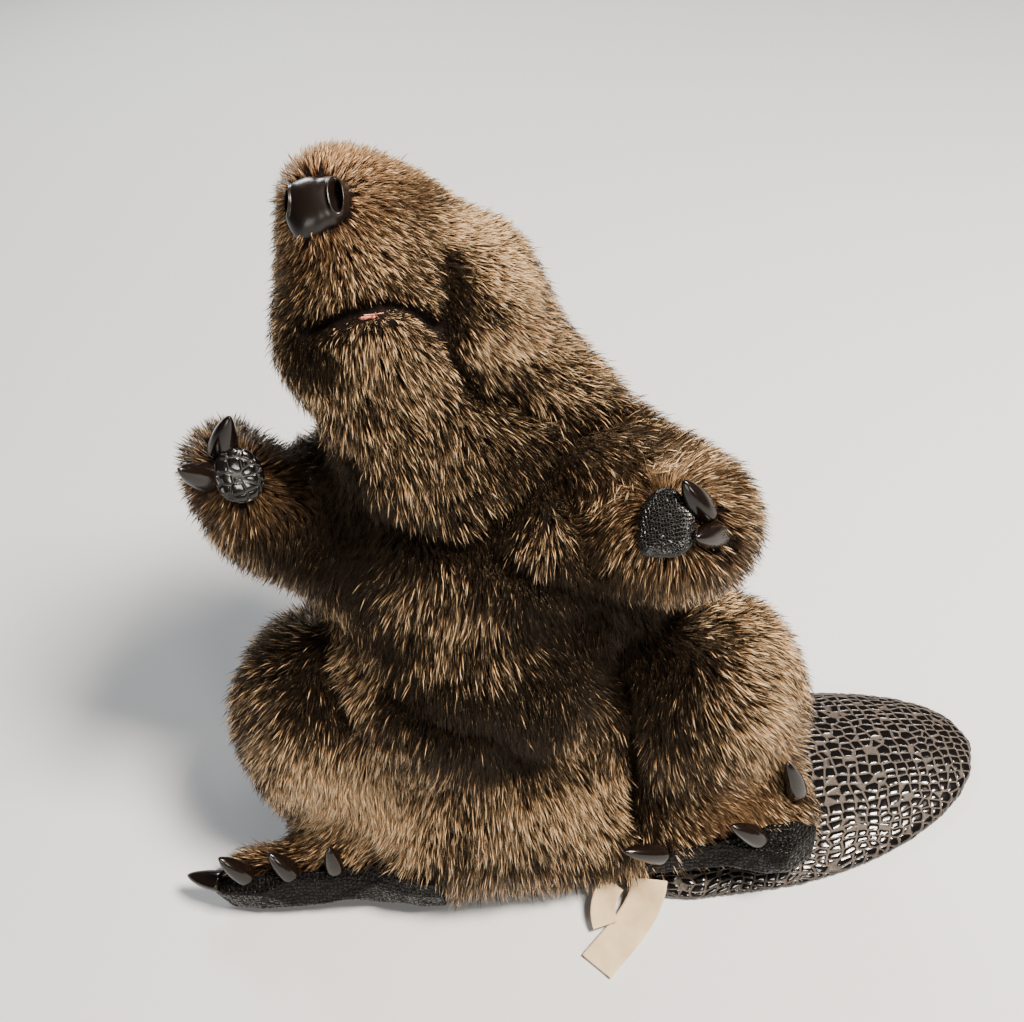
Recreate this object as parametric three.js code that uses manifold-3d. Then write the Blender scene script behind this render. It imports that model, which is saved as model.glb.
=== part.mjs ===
// A plush beaver glove puppet, sitting up with its head tipped back.
// Millimetres, +Z up. It faces -Y, so its own left side is at +X.
// The soft body is one blended skin over lumps of stuffing, parted by thin cuts
// into the pieces that a person would name. Nose, eyes, claws, pads, tail and
// care label are solids of their own, and the body keeps clear of them.
import * as THREE from 'three';
import { mergeVertices } from 'three/addons/utils/BufferGeometryUtils.js';
import Module from 'manifold-3d';

const wasm = await Module();
wasm.setup();

// Driving dimensions
const GAP = 0.3; // left between pieces that touch
const GRID = 11.3; // spacing of the grid that the plush is skinned on
const BLEND = 13; // how far plush lumps run into each other
const FAR = 500; // longer than the whole toy
const SHORTEST_EDGE = 0.05; // a shorter one is closed up

const HAND_HOLLOW = { centre: [3, 2, 18], radii: [34, 22, 78] };
const HEAD_SEAM = { point: [5, 0, 178], up: [0.05, 0.33, 0.94] };
const THROAT_SEAM = { centre: [6, 44, 200], radii: [60, 70, 70] };
const CHEST_SEAM_HEIGHT = 110;
const HIP_SEAM = { right: -43, left: 53, top: 104 };
const MOUTH = { lip: [-9, 12, 225], slit: 1.8, slope: 1.05 };
const MOUTH_LINING = { halfWidth: 17, halfDepth: 13, thickness: 1.2 };
const NOSE = { centre: [-20.3, 32, 246], halfWidth: 8.5, halfDepth: 7.5, halfHeight: 7.5 };
const EYE_RADIUS = 4.5;
const EAR = { radius: 9.5, thickness: 3.2, cup: 6.5 };
const CLAW_RADIUS = { fore: 4.3, hind: 3.8 };
const PAD_THICKNESS = 2.2;
const SOLE_FRONT = { right: -42, left: -51 };
const SOLE_TOE_OUT = { right: -0.08, left: 0.03 };
const TAIL = { start: 40, end: 191, bend: 97, halfWidth: 42, middle: -14, lean: 8.4, crown: 7, rim: 2.2 };
const LABEL = { width: 13, thickness: 0.7 };
const FACE = { // directions of the tipped-back head
  snout: [-0.41, -0.34, 0.84],
  crown: [-0.15, 0.94, 0.3],
  left: [0.89, 0, 0.44],
};

// Vector helpers
const add = (a, b) => a.map((v, i) => v + b[i]);
const sub = (a, b) => a.map((v, i) => v - b[i]);
const times = (a, s) => a.map((v) => v * s);
const dot = (a, b) => a[0] * b[0] + a[1] * b[1] + a[2] * b[2];
const size = (a) => Math.hypot(...a);
const unit = (a) => times(a, 1 / size(a));
const cross = (a, b) => [
  a[1] * b[2] - a[2] * b[1],
  a[2] * b[0] - a[0] * b[2],
  a[0] * b[1] - a[1] * b[0],
];
const mix = (a, b, t) => a + (b - a) * t;
const mixPoints = (a, b, t) => a.map((v, i) => mix(v, b[i], t));
const clamp = (v, low, high) => Math.min(high, Math.max(low, v));

// Lumps of stuffing. Each gives the distance from a point to its surface.
const egg = (centre, radii) => (p) => {
  const d = sub(p, centre);
  const near = size(d.map((v, i) => v / radii[i]));
  const steep = size(d.map((v, i) => v / radii[i] ** 2));
  return steep > 0 ? (near * (near - 1)) / steep : -Math.min(...radii);
};
const limb = (a, radiusA, b, radiusB) => (p) => {
  const along = sub(b, a);
  const t = clamp(dot(sub(p, a), along) / dot(along, along), 0, 1);
  return size(sub(p, add(a, times(along, t)))) - mix(radiusA, radiusB, t);
};
const blend = (a, b, reach) => {
  const h = Math.max(reach - Math.abs(a - b), 0) / reach;
  return Math.min(a, b) - (h * h * reach) / 4;
};
const stuffed = (lumps, reach = BLEND) => (p) =>
  lumps.reduce((d, lump) => blend(d, lump(p), reach), FAR);
const dented = (field, dents, reach = BLEND) => (p) =>
  -dents.reduce((d, dent) => blend(d, dent(p), reach), -field(p));
const grown = (field, by) => (p) => field(p) - by;

// Solids and geometries
const meshOf = (points, triangles) => new wasm.Mesh({
  numProp: 3,
  vertProperties: new Float32Array(points.flat()),
  triVerts: new Uint32Array(triangles.flat()),
});
const solidOf = (points, triangles) => new wasm.Manifold(meshOf(points, triangles));
function solidFrom(geometry, matrix) {
  const bare = geometry.clone().deleteAttribute('normal').deleteAttribute('uv');
  const { attributes, index } = mergeVertices(bare.applyMatrix4(matrix), 1e-4);
  return solidOf(Array.from(attributes.position.array), Array.from(index.array));
}

// Closes up the edges that a cut leaves shorter than any stitch
function geometryOf(solid) {
  const { vertProperties, triVerts } = solid.getMesh();
  const corner = (n) => Array.from(vertProperties.slice(3 * n, 3 * n + 3));
  const kept = Array.from({ length: vertProperties.length / 3 }, (_, n) => n);
  const keptFor = (n) => (kept[n] === n ? n : keptFor(kept[n]));
  const triangles = [];
  for (let n = 0; n < triVerts.length; n += 3) triangles.push([...triVerts.slice(n, n + 3)]);
  for (const [a, b, c] of triangles) {
    for (const [from, to] of [[a, b], [b, c], [c, a]]) {
      const [first, second] = [keptFor(from), keptFor(to)];
      if (size(sub(corner(first), corner(second))) < SHORTEST_EDGE) kept[second] = first;
    }
  }
  const whole = triangles.map((corners) => corners.map(keptFor))
    .filter(([a, b, c]) => a !== b && b !== c && c !== a);
  const geometry = new THREE.BufferGeometry();
  geometry.setAttribute('position', new THREE.BufferAttribute(vertProperties, 3));
  geometry.setIndex(whole.flat());
  geometry.computeVertexNormals();
  return geometry;
}

// Skins a field: one corner in each grid cell that its surface crosses
function skin(field, low, high, step) {
  const count = low.map((v, i) => Math.ceil((high[i] - v) / step) + 1);
  const stride = [1, count[0], count[0] * count[1]];
  const place = (cell) => cell.map((v, i) => low[i] + v * step);
  const cells = [];
  for (let k = 0; k < count[2]; k++) {
    for (let j = 0; j < count[1]; j++) {
      for (let i = 0; i < count[0]; i++) cells.push([i, j, k]);
    }
  }
  const value = cells.map((cell) => field(place(cell)));
  const inside = (n) => value[n] < 0;
  const cornerNumber = new Map();
  const corners = [];
  const cornerOf = (cell) => {
    const cellNumber = dot(cell, stride);
    if (cornerNumber.has(cellNumber)) return cornerNumber.get(cellNumber);
    const crossings = [];
    for (let axis = 0; axis < 3; axis++) {
      for (const [du, dv] of [[0, 0], [0, 1], [1, 0], [1, 1]]) {
        const start = [...cell];
        start[(axis + 1) % 3] += du;
        start[(axis + 2) % 3] += dv;
        const a = dot(start, stride);
        const b = a + stride[axis];
        if (inside(a) === inside(b)) continue;
        const point = place(start);
        point[axis] += (step * value[a]) / (value[a] - value[b]);
        crossings.push(point);
      }
    }
    cornerNumber.set(cellNumber, corners.length);
    corners.push(times(crossings.reduce(add), 1 / crossings.length));
    return corners.length - 1;
  };
  const triangles = [];
  for (const cell of cells) {
    for (let axis = 0; axis < 3; axis++) {
      const [u, v] = [(axis + 1) % 3, (axis + 2) % 3];
      const a = dot(cell, stride);
      const b = a + stride[axis];
      const atRim = cell[axis] + 1 >= count[axis] || cell[u] < 1 || cell[v] < 1;
      if (atRim || inside(a) === inside(b)) continue;
      const around = [[0, 0], [-1, 0], [-1, -1], [0, -1]].map(([du, dv]) => {
        const other = [...cell];
        other[u] += du;
        other[v] += dv;
        return cornerOf(other);
      });
      if (inside(b)) around.reverse();
      const [c0, c1, c2, c3] = around;
      const evenSplit = size(sub(corners[c0], corners[c2])) < size(sub(corners[c1], corners[c3]));
      if (evenSplit) triangles.push([c0, c1, c2], [c0, c2, c3]);
      else triangles.push([c1, c2, c3], [c1, c3, c0]);
    }
  }
  return solidOf(settled(corners, triangles, field), triangles);
}

// Evens out a skin's corners, then puts them back on the field's surface
function settled(corners, triangles, field, rounds = 4) {
  const around = corners.map(() => new Set());
  for (const [a, b, c] of triangles) {
    around[a].add(b).add(c);
    around[b].add(c).add(a);
    around[c].add(a).add(b);
  }
  const reach = 0.5;
  const slope = (p) => [0, 1, 2].map((axis) => {
    const [ahead, behind] = [[...p], [...p]];
    ahead[axis] += reach;
    behind[axis] -= reach;
    return (field(ahead) - field(behind)) / (2 * reach);
  });
  let points = corners;
  for (let round = 0; round < rounds; round++) {
    points = points.map((p, n) => {
      const ring = [...around[n]].map((m) => points[m]);
      const even = mixPoints(p, times(ring.reduce(add), 1 / ring.length), 0.5);
      const steep = slope(even);
      return sub(even, times(steep, field(even) / dot(steep, steep)));
    });
  }
  return points;
}

// A closed body through rings of points, with a fan over each end
function loft(rings) {
  const sides = rings[0].length;
  const middle = (ring) => times(ring.reduce(add), 1 / sides);
  const points = [...rings.flat(), middle(rings[0]), middle(rings.at(-1))];
  const [first, end] = [points.length - 2, points.length - 1];
  const last = (rings.length - 1) * sides;
  const triangles = [];
  for (let s = 0; s < sides; s++) {
    const next = (s + 1) % sides;
    for (let start = 0; start < last; start += sides) {
      const [a, b] = [start + s, start + next];
      triangles.push([a, b, b + sides], [a, b + sides, a + sides]);
    }
    triangles.push([first, next, s], [end, last + s, last + next]);
  }
  return solidOf(points, triangles);
}

// Each maker below gives a piece and the slightly larger space kept clear for it
const withClearance = (make) => ({ piece: make(0), clear: make(GAP) });
function placed(centre, facing) {
  const turn = new THREE.Quaternion().setFromUnitVectors(
    new THREE.Vector3(0, 0, 1), new THREE.Vector3(...unit(facing)));
  return new THREE.Matrix4().makeRotationFromQuaternion(turn).setPosition(...centre);
}
const block = (centre, sides, facing = [0, 0, 1]) => withClearance((extra) =>
  solidFrom(new THREE.BoxGeometry(...sides.map((v) => v + 2 * extra)), placed(centre, facing)));
const pastPlane = (point, facing) =>
  block(add(point, times(unit(facing), FAR / 2)), [FAR, FAR, FAR], facing);
const ball = (centre, radii, facing = [0, 0, 1], detail = 14) => withClearance((extra) => {
  const shape = new THREE.SphereGeometry(1, detail, detail / 2);
  shape.scale(...radii.map((r) => r + extra));
  return solidFrom(shape, placed(centre, facing));
});
// Twice the gap, because the two skins' facets don't lie over each other
const moulding = (field, low, high, step) => withClearance((extra) =>
  skin(grown(field, 2 * extra), low, high, step));

// A curved horn from root to tip, bowed sideways, thinning to a blunt tip
const horn = (root, tip, bow, radius) => withClearance((extra) => {
  const elbow = add(mixPoints(root, tip, 0.55), bow);
  const at = (t) => mixPoints(mixPoints(root, elbow, t), mixPoints(elbow, tip, t), t);
  const upright = Math.abs(unit(sub(tip, root))[2]) > 0.8;
  const sides = 6;
  const rings = [0, 0.4, 0.8, 1].map((t) => {
    const heading = unit(sub(at(Math.min(t + 0.01, 1)), at(Math.max(t - 0.01, 0))));
    const side = unit(cross(heading, upright ? [1, 0, 0] : [0, 0, 1]));
    const up = cross(heading, side);
    const r = radius * Math.sqrt(1 - 0.97 * t * t) + extra;
    return Array.from({ length: sides }, (_, s) => {
      const turn = (s / sides) * 2 * Math.PI;
      return add(at(t), add(times(side, r * Math.cos(turn)), times(up, r * Math.sin(turn))));
    });
  });
  return loft(rings);
});

// ---- The stuffed body, in lumps ----
const trunk = [
  egg([3, -2, 30], [56, 48, 40]), // seat
  limb([-28, 24, 16], 18, [36, 24, 16], 18), // rolled hem behind
  limb([-24, -31, 18], 18, [42, -31, 19], 19), // rolled hem in front
  egg([3, 4, 80], [50, 42, 44]), // belly
  egg([5, 16, 122], [44, 34, 36]), // chest
];
const headAndNeck = [
  egg([-13.5, 45, 229.5], [23.5, 25, 24]), // muzzle
  egg([-19, 42.5, 243], [12, 10.5, 10.5]), // brow of the nose
  egg([-15.5, 31, 206], [27, 27, 27]), // chin and cheeks
  limb([-4, 50, 217], 21.5, [7, 54, 202], 24.5), // bridge and forehead
  limb([6, 46, 196], 32, [9, 58, 188], 31), // cranium
  limb([22, 39, 162], 33, [12, 30, 138], 34), // nape
  limb([-7, 22, 174], 26, [0, 24, 150], 26), // throat
];
const rightArm = [
  egg([-30, 38, 154], [14, 13, 17]), // slack at the shoulder
  limb([-40, 23, 129], 20, [-60, 23, 149], 15.5),
  limb([-60, 23, 149], 15.5, [-67, 27, 167], 15),
];
const leftArm = [
  limb([38, 40, 158], 20.5, [58, 30, 140], 20.5), // shoulder
  limb([46, 25, 139], 25, [76, 9, 139], 22), // upper arm
  limb([74, -2, 138], 19, [28, 2, 135], 14), // forearm folded back across the chest
  limb([28, 2, 135], 14, [14, 5, 135], 14), // loose fold of the sleeve
];
const thighs = [
  egg([-52, 9, 50], [41, 38, 52]),
  egg([80, -1, 50], [40, 38, 46]),
  egg([52, 2, 108], [14, 12, 13]), // lap under the left forearm
];
const feet = [
  limb([-26, -33, 11.5], 13, [-97, -30, 11], 12),
  limb([58, -40, 20], 11, [100, -42, 22], 13),
  limb([100, -42, 22], 13, [106, -36, 32], 10),
];
const creases = [
  limb([-34, -53, 74], 9, [34, -56, 66], 9), // slack fold across the belly
];
const lumps = [trunk, headAndNeck, rightArm, leftArm, thighs, feet].flat();
const body = dented(stuffed(lumps), creases);

// ---- Hard and sewn-on pieces ----
// The point where a line from inside the head leaves it
function onHead(forward, left, crown) {
  let p = add([8, 56, 193], times(FACE.snout, forward));
  const heading = unit(add(times(FACE.left, left), times(FACE.crown, crown)));
  while (body(p) < 0) p = add(p, times(heading, 0.25));
  return { point: p, heading };
}
const noseAt = (x, y, z) => add(NOSE.centre, [x, y, z]);
const noseField = dented(stuffed([
  egg(NOSE.centre, [NOSE.halfWidth, NOSE.halfDepth, NOSE.halfHeight]),
  egg(noseAt(0, -1, 2.5), [NOSE.halfWidth - 0.5, NOSE.halfDepth, 4.5]),
  limb(noseAt(-2, -4, -3), 3.5, noseAt(-4.5, -7, -6), 2),
], 3), [
  egg(noseAt(5, -8.5, 3), [2, 3, 3.2]),
  egg(noseAt(-7.5, -6.5, 1.5), [2, 3, 3.2]),
], 1.5);
const nose = moulding(noseField, noseAt(-12, -13, -12), noseAt(12, 11, 11), 2.6);

// A bead eye, half sunk in the plush
function eye(left) {
  const { point, heading } = onHead(24, left, 0.86);
  const radii = [EYE_RADIUS, EYE_RADIUS, EYE_RADIUS];
  return ball(sub(point, times(heading, EYE_RADIUS * 0.4)), radii, heading, 10);
}

// A small round ear standing off the head, cupped towards the face
function ear(left) {
  const { point, heading } = onHead(-9, left, 0.9);
  const facing = unit(add(times(FACE.snout, 0.9), times(heading, 0.8)));
  const centre = add(point, times(heading, EAR.radius * 0.15));
  return withClearance((extra) => {
    const radii = [EAR.radius, EAR.radius, EAR.thickness].map((r) => r + extra);
    const flap = ball(centre, radii, facing, 10).piece;
    if (extra > 0) return flap;
    const inner = [EAR.cup, EAR.cup, EAR.thickness * 0.7];
    return flap.subtract(ball(add(centre, times(facing, EAR.thickness)), inner, facing, 8).piece);
  });
}

// The flat paddle of a tail, lying along +X: crowned on top, with a thin sewn rim
const tail = withClearance((extra) => {
  const rings = [];
  for (const t of [0, 0.06, 0.18, 0.32, 0.45, 0.56, 0.66, 0.76, 0.85, 0.92, 0.97, 1]) {
    const x = mix(TAIL.start - extra, TAIL.end + extra, t);
    const taper = clamp((x - TAIL.bend) / (TAIL.end + extra - TAIL.bend), 0, 0.999);
    const shoulder = Math.sqrt(1 - (1 - clamp((x - TAIL.start + 12) / 40, 0, 1)) ** 2);
    const halfWidth = (TAIL.halfWidth * Math.sqrt(1 - taper ** 2) + extra) * shoulder;
    const middle = TAIL.middle + TAIL.lean * taper ** 1.6;
    const crown = TAIL.crown * Math.sqrt(1 - taper ** 3) + extra;
    const top = [-0.9, -0.7, -0.4, 0, 0.4, 0.7, 0.9].map((v) =>
      [x, middle + v * halfWidth, TAIL.rim + crown * Math.sqrt(1 - v * v)]);
    const rims = [-1, 1].map((v) => [x, middle + v * halfWidth, TAIL.rim + extra]);
    const base = [1, -1].map((v) => [x, middle + 0.97 * v * halfWidth, -extra]);
    rings.push([rims[0], ...top, rims[1], ...base].reverse());
  }
  return loft(rings);
});

// A strip of ribbon of even thickness along a path, its width in the plane
function ribbon(path, width, thickness) {
  const rings = path.map((p, n) => {
    const before = path[Math.max(n - 1, 0)];
    const after = path[Math.min(n + 1, path.length - 1)];
    const heading = unit(sub(after, before));
    const across = unit([-heading[1], heading[0], 0]);
    const up = cross(heading, across);
    return [[-1, -1], [1, -1], [1, 1], [-1, 1]].map(([u, v]) =>
      add(p, add(times(across, (u * width) / 2), times(up, (v * thickness) / 2))));
  });
  return loft(rings);
}

const fur = ['#3f2b1b', 0.95];
const gloss = ['#101012', 0.15];
const scales = ['#1b1816', 0.35];
const felt = ['#d9705a', 0.9];
const paper = ['#e6dccb', 0.8];

const { fore, hind } = CLAW_RADIUS;
const claws = [
  ['fore_right_1', [-64, 22, 177], [-57.5, 18, 192.5], [-2, -1, 0], fore],
  ['fore_right_2', [-68.6, 15.9, 172.6], [-74, 8, 184], [-1, -2, 0], fore],
  ['fore_left_1', [76, -7, 155.5], [70, -7, 169], [1, -2, 1], fore],
  ['fore_left_2', [79.7, -10.8, 147.7], [71.5, -19.5, 157.5], [0, -1, 2.5], fore],
  ['hind_right_1', [-105, -32.5, 14.5], [-119, -27.5, 13], [0, -2, 1], hind],
  ['hind_right_2', [-94.5, -34, 19], [-101, -33, 33], [1, -1, 1], hind],
  ['hind_right_3', [-78, -35, 19.5], [-83, -33, 32], [1, -1, 1], hind],
  ['hind_right_4', [-61, -35.5, 20], [-60.5, -35, 34], [1, -1, 0], hind],
  ['hind_left_1', [107, -38.5, 40], [103, -37, 58], [2, -1, 0], hind],
  ['hind_left_2', [92, -49.5, 30.5], [81.5, -50, 43], [1, -1, 2], hind],
  ['hind_left_3', [58, -48, 25], [44, -51, 36], [-1, -1, 2], hind],
].map(([name, root, tip, bow, radius]) => [`claw_${name}`, horn(root, tip, bow, radius), gloss]);

// A palm pad, notched where the paw's claws pass it
function pad(side, centre, halfWidth, halfHeight, facing) {
  const whole = ball(centre, [halfWidth, halfHeight, PAD_THICKNESS], facing, 10);
  const beside = claws.filter(([name]) => name.startsWith(`claw_fore_${side}`));
  const notched = beside.reduce((left, [, claw]) => left.subtract(claw.clear), whole.piece);
  return { piece: notched, clear: whole.clear };
}

const hardware = [
  ['nose', nose, gloss],
  ['eye_left', eye(0.5), gloss],
  ['eye_right', eye(-0.5), gloss],
  ['ear_left', ear(0.45), fur],
  ['ear_right', ear(-0.45), fur],
  ['pad_right', pad('right', [-60, 14, 173], 6.5, 8, [0.3, -0.8, 0.5]), scales],
  ['pad_left', pad('left', [65.5, -10.5, 155.5], 8.5, 10, [-0.2, -0.66, 0.72]), scales],
  ...claws,
  ['tail', tail, scales],
];

const ground = pastPlane([0, 0, 0], [0, 0, -1]);
const handHollow = ball(HAND_HOLLOW.centre, HAND_HOLLOW.radii);
let plush = skin(body, [-140, -90, -21], [160, 130, 275], GRID);
plush = plush.subtract(ground.piece).subtract(handHollow.piece);
for (const [, { clear }] of hardware) plush = plush.subtract(clear);

// ---- Thin cuts that part the body into named pieces ----
const group = new THREE.Group();
const looks = new Map();
function put(name, solid, [color, roughness]) {
  const key = `${color} ${roughness}`;
  if (!looks.has(key)) looks.set(key, new THREE.MeshStandardMaterial({ color, roughness }));
  const mesh = new THREE.Mesh(geometryOf(solid), looks.get(key));
  mesh.name = name;
  group.add(mesh);
}
function takeOff(region) {
  const piece = plush.intersect(region.piece);
  plush = plush.subtract(region.clear);
  return piece;
}

const rightArmHeading = [-0.6, 0.08, 0.8];
const foreleg = takeOff(block([-64, 26, 160], [52, 60, 82], rightArmHeading));
const wrist = pastPlane([-59, 23, 151], rightArmHeading);
put('forepaw_right', foreleg.intersect(wrist.piece), fur);
put('upper_arm_right', foreleg.subtract(wrist.clear), fur);

put('forepaw_left', takeOff(block([64, -24, 136], [108, 40, 44])), fur);
put('upper_arm_left', takeOff(block([94, 10, 144], [100, 100, 60])), fur);

const headAndJaw = takeOff({
  piece: ball(THROAT_SEAM.centre, THROAT_SEAM.radii).piece
    .intersect(pastPlane(HEAD_SEAM.point, HEAD_SEAM.up).piece),
  clear: ball(THROAT_SEAM.centre, THROAT_SEAM.radii).clear
    .intersect(pastPlane(HEAD_SEAM.point, HEAD_SEAM.up).clear),
});
const jawFacing = [0, -1, -1 / (2 * MOUTH.slope)];
const underMouth = (shift) => pastPlane(add(MOUTH.lip, times(unit(jawFacing), shift)), jawFacing);
put('lower_jaw', headAndJaw.intersect(underMouth(MOUTH.slit / 2).piece), fur);
put('head', headAndJaw.subtract(underMouth(-MOUTH.slit / 2).piece), fur);
put('neck', takeOff(ball(THROAT_SEAM.centre, THROAT_SEAM.radii)), fur);

const rightFoot = takeOff(block([-72, -40, 10], [100, 40, 30]));
const leftFoot = takeOff(block([88, -50, 26], [72, 44, 44]));
for (const [side, foot] of [['right', rightFoot], ['left', leftFoot]]) {
  const front = pastPlane([0, SOLE_FRONT[side], 0], [SOLE_TOE_OUT[side], -1, 0]);
  put(`sole_${side}`, foot.intersect(front.piece), scales);
  put(`hind_foot_${side}`, foot.subtract(front.clear), fur);
}
const hip = (x) => block([x, 0, HIP_SEAM.top / 2 - 20], [100, 200, HIP_SEAM.top + 40]);
put('thigh_right', takeOff(hip(HIP_SEAM.right - 50)), fur);
put('thigh_left', takeOff(hip(HIP_SEAM.left + 50)), fur);
put('chest', takeOff(pastPlane([0, 0, CHEST_SEAM_HEIGHT], [0, 0, 1])), fur);
put('belly', takeOff(pastPlane([0, -6, 0], [0, -1, 0])), fur);
put('back', takeOff(pastPlane([0, 12, 0], [0, 1, 0])), fur);
put('flank_right', takeOff(pastPlane(HAND_HOLLOW.centre, [-1, 0, 0])), fur);
put('flank_left', plush, fur);
for (const [name, { piece }, look] of hardware) put(name, piece, look);

// The mouth's felt lining lies in the slit between head and jaw
const lining = [MOUTH_LINING.halfWidth, MOUTH_LINING.halfDepth, MOUTH_LINING.thickness / 2];
const deeper = cross([1, 0, 0], unit(jawFacing));
const liningCentre = add(MOUTH.lip, times(deeper, MOUTH_LINING.halfDepth - 1));
put('mouth_lining', ball(liningCentre, lining, jawFacing, 10).piece, felt);

// Care label: a ribbon from under the hem, and a small folded one beside it
const labelPath = [[53, -52, 10], [50.8, -55.5, 6], [45.8, -61.5, 2.8], [38.1, -68.2, 1], [30, -75.5, 1]];
put('care_label', ribbon(labelPath, LABEL.width, LABEL.thickness), paper);
const loopPath = [[38.5, -51.5, 9], [36.5, -54, 8], [35.3, -57, 5.9], [35, -60, 4], [35.2, -62, 3.2]];
put('care_label_loop', ribbon(loopPath, LABEL.width * 0.7, LABEL.thickness), paper);

// Stand the toy's box on the origin
const box = new THREE.Box3().setFromObject(group);
const centre = box.getCenter(new THREE.Vector3());
group.position.set(-centre.x, -centre.y, -box.min.z);

export default group;
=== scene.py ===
"""A plush beaver hand puppet: long-pile faux fur, embossed vinyl tail, soles and palm
pads, and a moulded nose, eyes and claws. Lengths named here are the toy's own millimetres,
in its drawing's axes: +Z up, it faces -Y, and its left side is at +X."""
import math

import bmesh
import bpy
import numpy as np
from mathutils import Matrix, Vector
from mathutils.bvhtree import BVHTree
from mathutils.kdtree import KDTree


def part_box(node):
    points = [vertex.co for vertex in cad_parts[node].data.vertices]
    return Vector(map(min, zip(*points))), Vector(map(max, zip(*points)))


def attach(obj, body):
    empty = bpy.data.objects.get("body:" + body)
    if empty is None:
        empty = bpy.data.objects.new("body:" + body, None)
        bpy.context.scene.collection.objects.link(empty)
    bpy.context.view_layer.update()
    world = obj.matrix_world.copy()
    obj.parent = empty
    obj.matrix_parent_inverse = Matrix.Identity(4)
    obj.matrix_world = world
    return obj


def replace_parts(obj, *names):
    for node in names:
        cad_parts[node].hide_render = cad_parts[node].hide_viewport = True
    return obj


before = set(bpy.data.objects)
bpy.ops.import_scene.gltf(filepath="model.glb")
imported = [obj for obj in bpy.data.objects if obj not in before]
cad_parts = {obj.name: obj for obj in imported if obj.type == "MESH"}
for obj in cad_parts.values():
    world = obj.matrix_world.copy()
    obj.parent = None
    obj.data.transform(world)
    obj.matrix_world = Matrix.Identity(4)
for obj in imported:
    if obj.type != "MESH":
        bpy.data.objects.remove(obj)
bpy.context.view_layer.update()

MM = 0.001
TAIL_TIP, TAIL_NEAR_EDGE = 191, -56  # where the drawing has the tail's far end and front edge
ORIGIN = np.array([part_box("tail")[1].x - TAIL_TIP * MM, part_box("tail")[0].y - TAIL_NEAR_EDGE * MM, 0])


def place(points):
    """The toy's millimetres to metres in the frame."""
    return np.asarray(points, float) * MM + ORIGIN


def drawn(points):
    """Metres in the frame to the toy's millimetres."""
    return (np.asarray(points, float) - ORIGIN) / MM


def unit(vectors):
    vectors = np.asarray(vectors, float)
    return vectors / np.maximum(np.linalg.norm(vectors, axis=-1, keepdims=True), 1e-12)


def waves(points, size, seed):
    """A smooth random field, about -1 to 1, whose swells are about size millimetres across."""
    rng = np.random.default_rng(seed)
    total = np.zeros(len(points))
    for heading, phase in zip(unit(rng.normal(size=(9, 3))), rng.uniform(0, 2 * math.pi, 9)):
        total += np.sin(points @ heading * math.pi / size + phase)
    return total / 3


# ---- Camera, light and floor ----
CAMERA = (20, -223, 381)
LOOK_DOWN, ROLL = math.radians(45), math.radians(7)
LENS, SENSOR = 36.9, 36


def set_camera():
    camera = bpy.data.objects.new("camera", bpy.data.cameras.new("camera"))
    camera.data.lens, camera.data.sensor_width = LENS, SENSOR
    camera.data.clip_start = 0.01
    right = Vector((math.cos(ROLL), -math.sin(ROLL) * math.sin(LOOK_DOWN),
                    -math.sin(ROLL) * math.cos(LOOK_DOWN)))
    back = Vector((0, -math.cos(LOOK_DOWN), math.sin(LOOK_DOWN)))
    turn = Matrix((right, back.cross(right), back)).transposed()
    camera.matrix_world = Matrix.Translation(place(CAMERA)) @ turn.to_4x4()
    bpy.context.collection.objects.link(camera)
    bpy.context.scene.camera = camera


def soft_light(name, spot, size, power, colour):
    light = bpy.data.objects.new(name, bpy.data.lights.new(name, "AREA"))
    light.data.size, light.data.energy = size, power
    light.data.color = linear(colour)[:3]
    light.location = spot
    light.rotation_euler = (Vector((0, 0, 0.1)) - Vector(spot)).to_track_quat("-Z", "Y").to_euler()
    bpy.context.collection.objects.link(light)


def set_studio():
    soft_light("window", (0.55, -0.2, 1.05), 0.3, 70, "#fff1e0")
    soft_light("room_fill", (-0.5, -1.0, 0.3), 0.4, 4, "#fff8f0")
    soft_light("rim", (-0.35, 1.0, 0.75), 0.4, 14, "#ffffff")
    soft_light("front_glint", (0.33, -1.0, 0.55), 0.22, 6, "#fff6ea")
    world = bpy.data.worlds.new("studio")
    world.use_nodes = True
    world.node_tree.nodes["Background"].inputs["Color"].default_value = linear("#dfdfdf")
    world.node_tree.nodes["Background"].inputs["Strength"].default_value = 0.12
    bpy.context.scene.world = world
    bm = bmesh.new()
    bmesh.ops.create_grid(bm, x_segments=1, y_segments=1, size=4)
    floor = piece("floor", bm, studio_paper())


# ---- Materials ----
def linear(colour):
    """An sRGB hex colour as linear RGBA."""
    channels = [int(colour[i:i + 2], 16) / 255 for i in (1, 3, 5)]
    return [c / 12.92 if c <= 0.04045 else ((c + 0.055) / 1.055) ** 2.4 for c in channels] + [1]


def add(tree, kind, inputs=None, **settings):
    """A new node with its settings, its values and the links into it."""
    node = tree.nodes.new(kind)
    for name, value in settings.items():
        setattr(node, name, value)
    for name, value in (inputs or {}).items():
        if isinstance(value, bpy.types.NodeSocket):
            tree.links.new(value, node.inputs[name])
        else:
            node.inputs[name].default_value = value
    return node


def ramp(tree, factor, *stops):
    """A colour ramp over (position, colour) stops."""
    node = add(tree, "ShaderNodeValToRGB", {"Fac": factor})
    elements = node.color_ramp.elements
    while len(elements) < len(stops):
        elements.new(0.5)
    for element, (position, colour) in zip(elements, stops):
        element.position, element.color = position, linear(colour)
    return node.outputs["Color"]


def mixed(tree, factor, a, b):
    node = add(tree, "ShaderNodeMix", data_type="RGBA")
    for socket, value in zip((node.inputs[0], node.inputs[6], node.inputs[7]), (factor, a, b)):
        if isinstance(value, bpy.types.NodeSocket):
            tree.links.new(value, socket)
        else:
            socket.default_value = value
    return node.outputs[2]


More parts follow.
